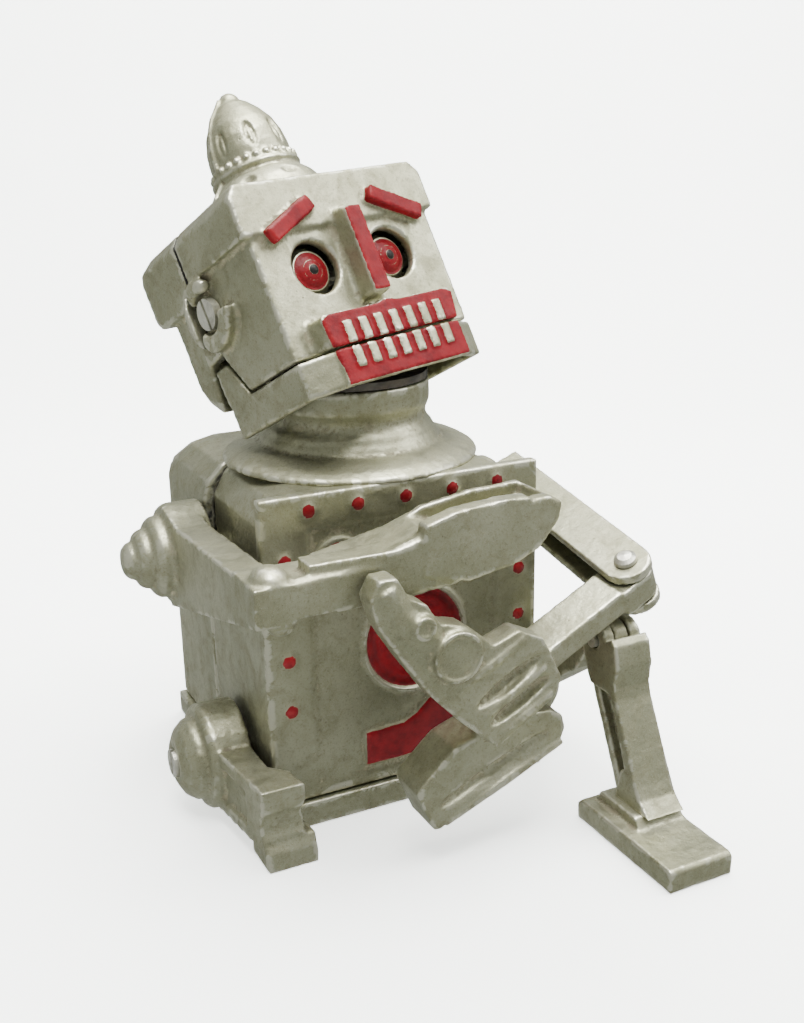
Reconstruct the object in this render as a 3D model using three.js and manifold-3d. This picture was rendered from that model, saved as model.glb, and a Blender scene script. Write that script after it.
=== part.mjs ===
// A seated cast-aluminium robot figure: the hinged arm lifts a coin to a mouth that opens.
// Millimetres, +Z up, the robot faces -Y. The origin is under the middle of the body.
import * as THREE from 'three';
import { mergeVertices } from 'three/addons/utils/BufferGeometryUtils.js';
import Module from 'manifold-3d';

const wasm = await Module();
wasm.setup();

// ---------------------------------------------------------------- driving dimensions
const gap = 0.3;                 // clearance between neighbouring pieces
const wall = 3.2;                // casting wall
const bodyHalf = 40;             // half the body's width, and its front face is at -bodyHalf
const bodyTop = 91.5;
const baseTop = 6.9;
const seamY = 4.85;              // where the two body castings meet
const shoulder = [5, 66];        // y, z of the shoulder axis
const hip = [-17, 14.7];         // y, z of the hip axis
const bossR = 14.4;
const neckY = -5.4;              // y of the neck's turning axis
const neckTop = 112.3;
const headAt = [4, -22.75, 124.4];
const headPitch = 26.7;          // degrees, face turned up
const headYaw = 16.3;            // degrees, face turned to its own left
const headTilt = -3.4;
const headHalf = 30.2;
const bandHalf = 32.4;
const headTop = 47;
const ear = [25, 23];            // y, z of the jaw pivot in the head's frame
const jawOpening = 0.13;         // radians the jaw drops
const eye = [13, 9.6, 22.8];     // half spacing, y and z of the eye shaft in the head's frame
const leverPin = [12, 48];
const elbow = [52, -67, 63.5];
const elbowPitch = 10;           // degrees the left upper arm slopes down
const elbowRoll = 24;            // degrees the elbow pin leans inwards at its top
const forearmSwing = 8;          // degrees the left forearm stands forward of square
const knee = [-66, 48];          // y, z of the left knee

const silver = [0xa9a896, 0.45, 0.75];
const redPaint = [0x97292e, 0.42, 0.05];
const steel = [0x86857d, 0.35, 0.9];
const dark = [0x4b4a45, 0.5, 0.8];

// ---------------------------------------------------------------- small tools
const rad = (degrees) => degrees * Math.PI / 180;

function toSolid(geometry) {
  const plain = geometry.index ? geometry.toNonIndexed() : geometry.clone();
  plain.deleteAttribute('normal');
  plain.deleteAttribute('uv');
  const merged = mergeVertices(plain, 1e-4);
  return new wasm.Manifold(new wasm.Mesh({
    numProp: 3,
    vertProperties: new Float32Array(merged.attributes.position.array),
    triVerts: new Uint32Array(merged.index.array),
  }));
}

function toGeometry(solid) {
  const mesh = solid.getMesh();
  const geometry = new THREE.BufferGeometry();
  const points = new Float32Array(mesh.numVert * 3);
  for (let i = 0; i < mesh.numVert; i += 1) {
    for (let k = 0; k < 3; k += 1) {
      points[3 * i + k] = mesh.vertProperties[i * mesh.numProp + k];
    }
  }
  geometry.setAttribute('position', new THREE.BufferAttribute(points, 3));
  geometry.setIndex(new THREE.BufferAttribute(new Uint32Array(mesh.triVerts), 1));
  geometry.computeVertexNormals();
  return geometry;
}

const join = (...solids) => solids.flat().reduce((a, b) => a.add(b));
const cut = (solid, ...tools) => tools.flat().reduce((a, b) => a.subtract(b), solid);

function basis(geometry, x, y, z, at) {
  const matrix = new THREE.Matrix4().makeBasis(
    new THREE.Vector3(...x), new THREE.Vector3(...y), new THREE.Vector3(...z));
  matrix.setPosition(...at);
  geometry.applyMatrix4(matrix);
  return geometry;
}

function extrude(points, depth) {
  const shape = new THREE.Shape(points.map((p) => new THREE.Vector2(p[0], p[1])));
  return new THREE.ExtrudeGeometry(shape, { depth, bevelEnabled: false, curveSegments: 8 });
}

// Prisms: the outline is (y, z), (x, z) or (x, y), and the pair gives the two ends.
const prismX = (points, x0, x1) => toSolid(
  basis(extrude(points, x1 - x0), [0, 1, 0], [0, 0, 1], [1, 0, 0], [x0, 0, 0]));
const prismY = (points, y0, y1) => toSolid(
  basis(extrude(points, y1 - y0), [1, 0, 0], [0, 0, 1], [0, -1, 0], [0, y1, 0]));
const prismZ = (points, z0, z1) => toSolid(
  basis(extrude(points, z1 - z0), [1, 0, 0], [0, 1, 0], [0, 0, 1], [0, 0, z0]));

function box(x0, x1, y0, y1, z0, z1) {
  const geometry = new THREE.BoxGeometry(x1 - x0, y1 - y0, z1 - z0);
  geometry.translate((x0 + x1) / 2, (y0 + y1) / 2, (z0 + z1) / 2);
  return toSolid(geometry);
}

// Turned shapes: the profile is (radius, height) pairs from the axis back to the axis.
function turned(profile, segments = 32) {
  const geometry = new THREE.LatheGeometry(profile.map((p) => new THREE.Vector2(p[0], p[1])), segments);
  geometry.applyMatrix4(new THREE.Matrix4().makeRotationX(Math.PI / 2));
  return geometry;
}
const turnedZ = (profile, x, y, segments) => toSolid(turned(profile, segments).translate(x, y, 0));
function turnedX(profile, y, z, side = 1, segments = 32) {
  const geometry = turned(profile, segments);
  geometry.applyMatrix4(new THREE.Matrix4().makeRotationY(side * Math.PI / 2));
  geometry.translate(0, y, z);
  return toSolid(geometry);
}
const rod = (r, a, b) => [[0, a], [r, a], [r, b], [0, b]];
const cylX = (r, x0, x1, y, z, segments) => turnedX(rod(r, x0, x1), y, z, 1, segments);
const cylZ = (r, z0, z1, x, y, segments) => turnedZ(rod(r, z0, z1), x, y, segments);
function cylY(r, y0, y1, x, z, segments = 24) {
  const geometry = turned(rod(r, -y1, -y0), segments);
  geometry.applyMatrix4(new THREE.Matrix4().makeRotationX(Math.PI / 2));
  geometry.translate(x, 0, z);
  return toSolid(geometry);
}

const mirrorOutline = (half) => [
  ...half, ...half.map((p) => [-p[0], p[1]]).reverse()];
const bothSides = (make) => [make(1), make(-1)];
const slab = (points, side, near, far) => (
  side > 0 ? prismX(points, near, far) : prismX(points, -far, -near));
const pin = (r, side, near, far, y, z, segments) => (
  side > 0 ? cylX(r, near, far, y, z, segments) : cylX(r, -far, -near, y, z, segments));

const headMatrix = new THREE.Matrix4()
  .makeTranslation(...headAt)
  .multiply(new THREE.Matrix4().makeRotationZ(rad(headYaw)))
  .multiply(new THREE.Matrix4().makeRotationY(rad(headTilt)))
  .multiply(new THREE.Matrix4().makeRotationX(rad(-headPitch)));

const place = (solid, matrix) => solid.transform(matrix.elements);
const inHead = (solid) => place(solid, headMatrix);

const group = new THREE.Group();
function piece(name, solid, look) {
  const [color, roughness, metalness] = look;
  const material = new THREE.MeshStandardMaterial({ color, roughness, metalness });
  const mesh = new THREE.Mesh(toGeometry(solid), material);
  mesh.name = name;
  group.add(mesh);
}

// A slotted screw along X: the head's outer face is at `tip`, the shank ends at `end`.
function screwX(side, tip, end, y, z, headR, headT, shankR) {
  const head = pin(headR, side, tip - headT, tip, y, z, 28);
  const shank = pin(shankR, side, end, tip - headT + 0.2, y, z, 20);
  const slot = side > 0
    ? box(tip - 0.9, tip + 1, y - 0.5, y + 0.5, z - 5, z + 5)
    : box(-tip - 1, -tip + 0.9, y - 0.5, y + 0.5, z - 5, z + 5);
  return cut(join(head, shank), slot);
}

// ---------------------------------------------------------------- body castings
const neckHoleR = 19.6;
const tiePosts = [[28, 30], [-28, 36]];
const shoulderHole = cylX(4.2, -46, 46, shoulder[0], shoulder[1], 28);
const neckHole = cylZ(neckHoleR, 84, 94, 0, neckY, 48);

{
  const bodyBottom = baseTop + gap;
  const plate = box(-bodyHalf, bodyHalf, -bodyHalf, -36.4, bodyBottom, bodyTop);
  const outline = mirrorOutline(
    [[40, bodyBottom], [40, 56], [37.2, 61], [37.2, 82], [33.5, 88.5], [28, 91.2]]);
  const hollow = mirrorOutline([[36.8, 0], [36.8, 54.5], [34, 59.5], [34, 81], [31, 86], [27, 88]]);
  const rivetRows = [
    ...[-27, -13.5, 0, 13.5, 27].map((x) => [x, 87.3]),
    ...[75, 61.5, 48, 34].flatMap((z) => [[-34, z], [34, z]]),
  ];
  const posts = tiePosts.map(([x, z]) => cylY(5, -37, seamY - 0.15, x, z));
  const postHoles = tiePosts.map(([x, z]) => cylY(2, -14, 8, x, z, 16));
  const hipBosses = bothSides((s) => pin(5.5, s, 33, 37, hip[0], hip[1], 24));
  const hipHoles = bothSides((s) => pin(2.2, s, 30, 45, hip[0], hip[1], 20));
  const shell = cut(
    join(plate, prismY(outline, -36.5, seamY - 0.15)),
    prismY(hollow, -36.4, 10));
  const solid = cut(
    join(shell, posts, hipBosses, rivetRows.map(([x, z]) => cylY(1.9, -40.7, -39.5, x, z, 14))),
    postHoles, hipHoles, shoulderHole, neckHole,
    box(-27.5, 27.5, -41, -39.2, 10, 82.5),
    cylY(14.7, -42, -38.3, 2.6, 47, 48));
  piece('body_front_shell', solid, silver);
}

{
  const bodyBottom = baseTop + gap;
  const y0 = seamY + 0.15;
  const outline = mirrorOutline(
    [[40, bodyBottom], [40, 79], [38.4, 85], [34, 89.4], [27, 91.4]]);
  const hollow = mirrorOutline([[36.8, 0], [36.8, 78], [35.3, 83.5], [32, 86.8], [26, 88.2]]);
  const cavity = cut(prismY(hollow, 0, 37.2), prismX([[29.5, 90], [38, 90], [38, 79]], -45, 45));
  const shell = cut(
    prismY(outline, y0, 40.5),
    prismX([[33, 92], [42, 92], [42, 80]], -45, 45),
    cavity);
  const posts = tiePosts.map(([x, z]) => cylY(5, y0, 38, x, z));
  const postHoles = tiePosts.map(([x, z]) => cylY(2.1, 0, 45, x, z, 16));
  const pinBosses = bothSides((s) => pin(4.5, s, 33, 37, leverPin[0], leverPin[1], 24));
  const pinHoles = bothSides((s) => pin(2.2, s, 30, 36.2, leverPin[0], leverPin[1], 20));
  const solid = cut(join(shell, posts, pinBosses), postHoles, pinHoles, shoulderHole, neckHole,
    box(-9, 2, 35, 42, 28, 58));
  piece('body_back_shell', solid, silver);
}

// ---------------------------------------------------------------- base with its coin trap
const trapY = -19.4;
const trapR = 15.4;                // the trap's plug, wide enough for a 31 mm coin
{
  const flange = box(-41.6, 41.6, -41.6, 41.9, 0, baseTop);
  const plug = box(-36.4, 36.4, -36, 36.8, baseTop - 0.1, 9);
  const seat = cylZ(1.9, 8.9, 15, -3.5, 31, 16);
  const notch = box(-trapR - 1.5, trapR + 1.5, trapY - 3.2, trapY + 3.2, 2.4, 12);
  piece('base_plate', cut(join(flange, plug, seat), notch,
    cylZ(trapR + gap, -1, 12, 0, trapY, 48), cylZ(trapR + 1.5, -1, 2.3, 0, trapY, 48)), silver);
  const cover = join(
    cylZ(trapR + 1.1, 0.3, 2.0, 0, trapY, 48), cylZ(trapR, 1.9, 11.2, 0, trapY, 48),
    box(-3, 3, trapY - trapR - 1.2, trapY + trapR + 1.2, 9.4, 11.2));
  piece('coin_trap_cover', cut(cover, box(-10, 10, trapY - 1, trapY + 1, 0, 1.3),
    cylZ(13, 3.8, 13, 0, trapY, 40)), dark);
}

// ---------------------------------------------------------------- neck
{
  const profile = [
    [19.2, 91.8], [34.2, 91.8], [34.2, 93], [31, 94.1], [26, 95.1], [24.8, 95.3], [24.8, 97.3],
    [23.6, 98.3], [23.3, 99.6], [21.6, 101.3], [21.2, 103.3], [21.7, 105], [22.4, 106], [22.4, neckTop],
    [19.2, neckTop], [19.2, 91.8]];
  piece('neck_collar', turnedZ(profile, 0, neckY, 48), silver);
}

{
  const ring = turnedZ([[16.8, 104], [18.8, 104], [18.8, neckTop + gap], [22, neckTop + gap],
    [22, neckTop + 2.3], [16.8, neckTop + 2.3], [16.8, 104]], 0, neckY, 48);
  const upright = [[20, -6], [20.4, 20], [19.8, 23], [21.4, 26.6], [25, 28], [28.6, 26.6], [30.2, 23], [30, -6]];
  const arms = inHead(join(bothSides((s) => slab(upright, s, 20.8, 23.6))));
  const trimmed = cut(arms, box(-60, 60, -60, 60, 90, neckTop + gap));
  const holes = inHead(join(bothSides((s) => pin(2.3, s, 19, 25, ear[0], ear[1], 20))));
  piece('neck_yoke', cut(join(ring, trimmed), holes), dark);
}

// ---------------------------------------------------------------- head
const neckClear = cylZ(24.2, 80, neckTop + 2.9, 0, neckY, 48);
const earHole = bothSides((s) => pin(2.4, s, 22, 36, ear[0], ear[1], 20));
{
  const lower = box(-headHalf, headHalf, 0, 29.45, 0.4, 34);
  const band = prismY(mirrorOutline([[bandHalf, 33], [bandHalf, 43.5], [29.5, headTop]]), -1.2, 29.45);
  const muzzle = prismZ(mirrorOutline([[22.8, 0.5], [20.9, -5.4]]), 0.4, 8.8);
  const nose = box(-2.8, 2.8, -6.2, 0.5, 12, 35);
  const brow = (s) => prismY(
    [[9.0 * s, 37.4], [10.6 * s, 40.8], [26.4 * s, 33.2], [24.8 * s, 29.8]], -3.6, 0.5);
  const bearing = (s) => (s > 0
    ? box(23.6, 27.2, 5.6, 13.6, 18.8, 26.8) : box(-27.2, -23.6, 5.6, 13.6, 18.8, 26.8));
  const hollow = box(-27, 27, 3.2, 31, -1, 43.6);
  // The ear cup is a crescent: it is open towards the face and upwards.
  const mouthOfCup = (s) => slab([[ear[0] - 20, ear[1] - 1], [ear[0] - 5.6, ear[1] - 1], [ear[0] + 1, ear[1] + 5.6],
    [ear[0] + 1, ear[1] + 20], [ear[0] - 20, ear[1] + 20]], s, 30.2, 36);
  const boss = (s) => cut(pin(10.2, s, 30.5, 33.8, ear[0], ear[1], 32), pin(5.4, s, 31, 35, ear[0], ear[1], 28),
    mouthOfCup(s));
  const core = (s) => pin(4.1, s, 30, 30.7, ear[0], ear[1], 20);
  const solid = cut(
    join(cut(join(lower, band, muzzle), hollow), nose, bothSides(brow), bothSides(bearing),
      bothSides(boss), bothSides(core)),
    bothSides((s) => cylY(7.1, -3, 4, eye[0] * s, eye[2], 32)),
    cylX(2.8, -26.9, 26.9, eye[1], eye[2], 20),
    prismX([[22.6, -1], [28.9, 10.6], [31, 12.5], [31, -1]], -29.9, 29.9),
    prismX([[22.6, -1], [28.9, 10.6], [29.6, 11.6], [29.6, -1]], -31, 31),
    earHole);
  piece('head_front_shell', inHead(solid).subtract(neckClear), silver);
}

{
  const upper = prismX([[29.75, 27.5], [29.75, 47], [46.5, 47], [50.2, 44.6], [51.5, 41], [51.5, 30], [49.5, 27.5]],
    -bandHalf, bandHalf);
  const lower = prismX([[29.75, 28], [29.75, 13], [36.7, 11.6], [38.7, -1.4], [43.5, 3], [46, 8], [46, 28]],
    -headHalf, headHalf);
  const upperHollow = prismX([[28, 30.6], [48.3, 30.6], [48.3, 41], [46, 43.6], [28, 43.6]], -29.2, 29.2);
  const lowerHollow = prismX([[28, 31.5], [42.8, 31.5], [42.8, 9.2], [40.9, 5.4], [36.2, 1], [28, 1]], -27, 27);
  const edges = bothSides((s) => prismY(
    [[bandHalf * s, 43.5], [bandHalf * s + s, 43.5], [bandHalf * s + s, 48], [29.5 * s, 48], [29.5 * s, 47]], 20, 60));
  const solid = cut(join(upper, lower), upperHollow, lowerHollow, edges,
    bothSides((s) => pin(10.6, s, 29, 36, ear[0], ear[1], 32)).map((c) => c.subtract(box(-30.2, 30.2, 0, 60, 0, 60))));
  piece('head_back_shell', inHead(solid).subtract(neckClear), silver);
}

{
  const profile = [[0, 47.3], [17.6, 47.3], [17.4, 50.5], [15.9, 53.8], [13.2, 56.6], [12.2, 57.2], [12.2, 60.4],
    [11.5, 61], [11.6, 64.5], [11.1, 68.5], [9.8, 72.5], [7.6, 76], [5.0, 79], [3.2, 80.2], [2.9, 81.6],
    [1.6, 83], [0, 83.4]];
  piece('crown_finial', inHead(turnedZ(profile, 0, 26.5, 36)), silver);
}

for (const [name, side] of [['ear_screw_left', 1], ['ear_screw_right', -1]]) {
  piece(name, inHead(screwX(side, 33.3, 21, ear[0], ear[1], 4.2, 2.2, 1.95)), steel);
}

{
  const outer = [[-30.2, 34.8], [-30.2, 0], [-20.9, -5.4], [20.9, -5.4], [30.2, 0], [30.2, 34.8],
    [27.4, 34.8], [27.4, 1.8], [19.9, -2.9], [-19.9, -2.9], [-27.4, 1.8], [-27.4, 34.8]];
  const rim = prismZ(outer, -9.9, -0.3);
  const post = (s) => slab([[23.7, -0.6], [29.6, 9.8], [34.8, 9.8], [34.8, -0.6]], s, 27.4, 30.2);
  const arm = (s) => slab([[20.4, -9.4], [20.4, 20], [19.8, 23], [21.4, 26.8], [25, 28.3], [28.6, 26.8],
    [30.4, 23], [40.8, 17.5], [41, 13.5], [38, 12.6], [30.4, 15], [30.4, -9.4]], s, 24.3, 26.6);
  const bridge = (s) => slab([[21, -9.3], [21, -1.2], [30, -1.2], [30, -9.3]], s, 26.5, 27.5);
  const bar = cylX(1.7, -25, 25, 39, 15, 18);
  // The chin is relieved inside so that it clears the neck when the mouth is open.
  const opened = new THREE.Matrix4().makeTranslation(0, ...ear)
    .multiply(new THREE.Matrix4().makeRotationX(jawOpening))
    .multiply(new THREE.Matrix4().makeTranslation(0, -ear[0], -ear[1]));
  const neckSide = cylZ(23, 80, neckTop + 2.8, 0, neckY, 48);
  const relief = place(place(neckSide, headMatrix.clone().invert()), opened.invert());
  piece('jaw', inHead(cut(join(rim, bothSides(post), bothSides(arm), bothSides(bridge), bar), relief,
    bothSides((s) => pin(2.4, s, 22, 27.1, ear[0], ear[1], 20)))), silver);
}

{
  const shaft = cylX(2.5, -26.5, 26.5, eye[1], eye[2], 20);
  const tail = box(-1.5, 1.5, eye[1], 18, eye[2] - 1.5, eye[2] + 1.5);
  piece('eye_rocker', inHead(join(shaft, tail)), dark);
  for (const [name, side] of [['eyeball_left', 1], ['eyeball_right', -1]]) {
    const ball = [[0, -8.4]];
    for (let i = 1; i < 14; i += 1) {
      const angle = -Math.PI / 2 + i * Math.PI / 14;
      ball.push([8.4 * Math.cos(angle), 8.4 * Math.sin(angle)]);
    }
    ball.push([0, 8.4]);
    const solid = turnedX(ball, 0, 0, 1, 28).translate([eye[0] * side, eye[1], eye[2]]);
    piece(name, inHead(cut(solid, cylX(2.8, -40, 40, eye[1], eye[2], 20))), silver);
  }
}

// The rod stands on the lever and works the jaw's cross-bar and the eyes' tail.
{
  const stem = turnedZ([[0, 54.7], [0.75, 54.9], [1.3, 55.45], [1.5, 56.2], [1.5, 117], [0, 117]], -5, 8.2, 16);
  const back = prismZ([[-6.6, 7], [-3.4, 7], [-5.2, 19.6], [-8.6, 18.8]], 115.5, 118.1);
  const forward = prismZ([[-6.5, 9.4], [-3.4, 9.4], [-2.2, -0.8], [-4.9, -0.8]], 115.5, 118.1);
  const finger = box(-4.9, -2.2, -0.8, 1.7, 115.6, 135.3);
  piece('push_rod', join(stem, back, forward, finger), steel);
}

// ---------------------------------------------------------------- right arm
function stepCap(side) {
  // A boss with a stepped, pointed cap, cast in one with its limb.
  const profile = [[0, 41.2], [bossR, 41.2], [bossR, 50.2], [13.3, 52], [11.4, 52.8], [11.3, 54.8],
    [10.1, 56.4], [8.4, 57], [8.1, 58.8], [7, 60.2], [5.4, 60.8], [5, 62.4], [3.6, 63.7], [1.6, 64.2], [0, 64.2]];
  return turnedX(profile, shoulder[0], shoulder[1], side, 40);
}
{
  const bar = prismX([[2, 51.9], [-69, 71], [-69, 80.6], [-8, 77.4], [5, 80], [9, 60]], -52, -43);
  const tray = prismZ([[-52, -69], [-52, -54], [-43, -54], [-34, -54.5], [-12, -52.5], [-8, -51], [-8, -66.5],
    [-20, -68], [-42, -69]], 71, 80.6);
  const under = prismX([[-70, 70], [-50, 70], [-50, 76.2], [-64, 76.2]], -42.5, -14);
  const wrist = prismY([[-32, 80.4], [-32, 71.2], [-12, 71.6], [0, 72.2], [0, 88.4], [-12, 84.4]], -67.8, -51);
  const palm = prismY([[-9, 84.8], [-9, 76], [3, 72.4], [16, 74.6], [23, 77.6], [28.4, 84], [29.4, 88.6],
    [26, 90.6], [12, 90.2], [-2, 88]], -68.4, -51);
  const bowl = prismY([[-9.5, 92], [-6.5, 86], [4, 83.6], [20, 84.8], [25.6, 87.8], [27, 92]], -64.4, -53.2);
  const thumb = prismY([[-8.6, 88.4], [-9.4, 84], [0, 86], [14, 87], [20.6, 88.4], [20, 91.4], [12, 91.6], [0, 90.8]],
    -68.5, -63.9);
  const shaft = cylX(3.8, -42, -9.6, shoulder[0], shoulder[1], 24);
  const solid = join(cut(join(bar, cut(tray, under), wrist, palm), bowl), thumb, stepCap(-1), shaft);
  piece('right_arm', solid, silver);
}
{
  const hub = cylX(7, -16.2, -10.2, shoulder[0], shoulder[1], 28);
  const arm = prismX([[6, 60], [-12.4, 57.2], [-13, 58.6], [-12, 61.2], [2, 72]], -16.2, -10.2);
  piece('arm_crank', cut(join(hub, arm), cylX(4.1, -20, -5, shoulder[0], shoulder[1], 24)), dark);
}

// ---------------------------------------------------------------- left arm
const armForward = new THREE.Vector3(0, -Math.cos(rad(elbowPitch)), -Math.sin(rad(elbowPitch)));
const levelUp = new THREE.Vector3(0, -Math.sin(rad(elbowPitch)), Math.cos(rad(elbowPitch)));
const elbowAxis = levelUp.clone().multiplyScalar(Math.cos(rad(elbowRoll)))
  .add(new THREE.Vector3(-Math.sin(rad(elbowRoll)), 0, 0));
const armOut = elbowAxis.clone().cross(armForward);
const armFrame = new THREE.Matrix4().makeBasis(armForward, armOut, elbowAxis);
armFrame.setPosition(...elbow);
// In the arm's frame x runs forward from the elbow, y outwards and z along the pin.
const roundEnd = (r, from, half) => {
  const points = [[from, half], [from, -half]];
  for (let i = 0; i <= 10; i += 1) {
    const angle = -Math.PI / 2 + i * Math.PI / 10;
    points.push([r * Math.cos(angle), r * Math.sin(angle)]);
  }
  return points;
};
{
  const cheek = roundEnd(6.5, -66, 6.5);
  const arm = join(
    prismZ(cheek, 4, 6.5), prismZ(cheek, -7, -4.5), box(-66, -10, 4.1, 6.5, -7, 6.5),
    box(-66, -56, -6.5, 6.5, -7, 6.5));
  const drilled = cut(arm, cylZ(2.1, -12, 12, 0, 0, 20));
  const shaft = cylX(3.8, 29.8, 42, shoulder[0], shoulder[1], 24);
  piece('left_upper_arm', join(place(drilled, armFrame), stepCap(1), shaft), silver);
  const collar = cut(cylX(7, 30.2, 33.4, shoulder[0], shoulder[1], 28), cylX(4.1, 25, 40, shoulder[0], shoulder[1], 24));
  piece('left_shoulder_collar', collar, dark);
  const head = turnedZ([[0, 6.8], [3.1, 6.8], [2.9, 7.8], [1.9, 8.5], [0, 8.8]], 0, 0, 20);
  piece('elbow_pin', place(join(head, cylZ(1.8, -9.2, 7, 0, 0, 20)), armFrame), steel);
}
{
  const swing = new THREE.Matrix4().makeRotationZ(rad(forearmSwing - 90));
  swing.premultiply(armFrame);
  // Here x runs down the forearm and z is still along the pin.
  const knuckle = cut(prismZ(roundEnd(6.2, 0, 6.2).map(([x, y]) => [-x, y]), -4.1, 3.6),
    box(0.01, 40, -20, 20, -20, 20));
  const start = prismZ([[-0.5, -6.2], [7.5, -6.2], [7.5, 6.2], [-0.5, 6.2]], -4.1, 3.6);
  const bar = prismX([[-5.4, -4.6], [2, -5.6], [5.6, -2.2], [5.6, 4], [-5.4, 4.6]], 7, 35);
  const solid = cut(join(knuckle, start, bar), cylZ(2.1, -12, 12, 0, 0, 20));
  const upper = prismY([[24.5, 46], [23.2, 41.2], [6, 30.8], [-4, 40], [-12.3, 48.9], [-20, 60], [-25.5, 69],
    [-27.5, 76], [-25, 80.5], [-20.5, 80.5], [-17.5, 75], [-13, 72.5], [-9.5, 67], [-3, 65.3], [1.2, 62],
    [5, 58.5], [12, 61], [19, 57.5]], -77, -70);
  const lower = prismY([[28.6, 29], [27.6, 26.2], [-8.4, 9.6], [-9.8, 9.8], [-14.4, 21], [-13.4, 22.6],
    [-4, 31], [12, 36], [24, 35], [27.6, 32.8]], -73, -60);
  // Each flute is a long shallow hollow between two finger ridges.
  const flute = (x, y, z, halfLength, slope) => {
    const tool = new THREE.SphereGeometry(1, 20, 14);
    tool.scale(halfLength, 2.9, 2.7);
    tool.rotateY(rad(-slope));
    tool.translate(x, y, z);
    return toSolid(tool);
  };
  const hand = cut(join(upper, lower),
    flute(9.3, -78.4, 48, 11.6, 29), flute(12.6, -78.4, 42.2, 10.8, 29.5), flute(8.2, -74.4, 21.6, 18.5, 22.8));
  const discs = join(cylY(6.6, -78.6, -76, -5.7, 58.4, 28), cylY(3, -79, -76, -14.7, 67.7, 20));
  const kneeRelief = cylX(6.1, 39, 56, knee[0], knee[1], 32);
  piece('left_forearm_hand', cut(join(place(solid, swing), hand, discs), kneeRelief), silver);
}

// ---------------------------------------------------------------- legs
function hipDome(side) {
  const profile = [[0, 42], [bossR, 42], [bossR, 51.5], [13.4, 53], [11.4, 53.6], [11, 55.6],
    [9, 58], [6, 59.6], [0, 60.2]];
  return turnedX(profile, hip[0], hip[1], side, 40);
}
const hipBore = (side) => join(
  pin(2.25, side, 30, 70, hip[0], hip[1], 20), pin(4.2, side, 58.9, 70, hip[0], hip[1], 24));
for (const [name, side] of [['left_hip_screw', 1], ['right_hip_screw', -1]]) {
  piece(name, screwX(side, 60.6, 33.4, hip[0], hip[1], 3.8, 1.4, 1.9), steel);
}
{
  const thigh = prismZ([[-53, -10], [-42.2, -10], [-42.2, -42.6], [-38, -47], [-37, -55], [-48.5, -55], [-53, -17]],
    4.5, 21.6);
  const recess = prismZ([[-55, -23], [-51.2, -23], [-48.4, -45.5], [-55, -45.5]], 7.6, 17.8);
  // A waist between the thigh's end block and the stub that stands on the ground.
  const waist = [cylY(5, -60, -48.5, -32.8, 14), cylX(6, -56, -30, -59.6, 11.8)];
  const stub = prismX([[-45.5, 6.4], [-45, 0], [-57, 0], [-56.6, 4.4], [-54.8, 7.4]], -48.4, -34.6);
  const solid = cut(join(cut(thigh, recess, waist), stub, hipDome(-1)), hipBore(-1));
  piece('right_leg', solid, silver);
}
{
  const bar = prismX([[-9, 22], [-4, 12], [-14, 5], [-57, 36], [-62.5, 44.5], [-58.5, 51.2]], 42.5, 51.5);
  const tongueCircle = cylX(5.1, 44.9, 49.1, knee[0], knee[1], 28);
  const tongue = join(tongueCircle, prismX([[-66, 53.4], [-57.6, 51], [-57, 37.5], [-69, 43.4]], 44.9, 49.1));
  const clearance = cylX(7.4, 42, 44.9, knee[0], knee[1], 28);
  const clearance2 = cylX(7.4, 49.1, 52, knee[0], knee[1], 28);
  const kneeHole = cylX(2.1, 38, 56, knee[0], knee[1], 20);
  const solid = cut(join(cut(bar, clearance, clearance2), tongue, hipDome(1)), hipBore(1), kneeHole);
  piece('left_thigh', solid, silver);
}
{
  const fork = (x0, x1) => join(cylX(5.4, x0, x1, knee[0], knee[1], 28),
    prismX([[-72, 48], [-60.4, 46], [-65, 35.5], [-75.6, 37]], x0, x1));
  const web = prismX([[-74.9, 38.5], [-63.3, 38.5], [-79, 9], [-87, 9]], 45.6, 48.4);
  const front = prismX([[-75.6, 37.4], [-73, 37.8], [-84.6, 9], [-91.4, 9], [-88.4, 11.6], [-86.4, 15]], 41.4, 52.6);
  const shroud = prismX([[-75.8, 37], [-76.6, 44], [-75.4, 49.4], [-73.6, 51], [-71.7, 49.6], [-71.7, 40], [-73, 37.8]],
    41.4, 52.6);
  const rear = prismX([[-66.6, 36], [-64, 35.6], [-76.5, 9], [-79.6, 9]], 42.6, 51.4);
  const top = prismX([[-75.8, 38.6], [-63.2, 38.6], [-65, 35.5], [-76.6, 35.5]], 41.4, 52.6);
  const solid = cut(join(fork(41.4, 44.6), fork(49.4, 52.6), web, front, shroud, rear, top),
    cylX(2.1, 38, 56, knee[0], knee[1], 20));
  piece('left_shin', solid, silver);
  piece('knee_pin', join(cylX(1.8, 40.6, 53.6, knee[0], knee[1], 20),
    cylX(2.8, 52.9, 54.4, knee[0], knee[1], 20)), steel);
  const sole = prismX([[-70.8, 0], [-70.8, 4.4], [-72.4, 5.9], [-109.4, 5.9], [-110.3, 5], [-110.3, 0]], 34.4, 53.5);
  const block = prismX([[-73.6, 5.8], [-75, 8.7], [-90, 8.7], [-92.4, 5.8]], 38.6, 53);
  piece('left_foot', join(sole, block), silver);
}

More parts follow.
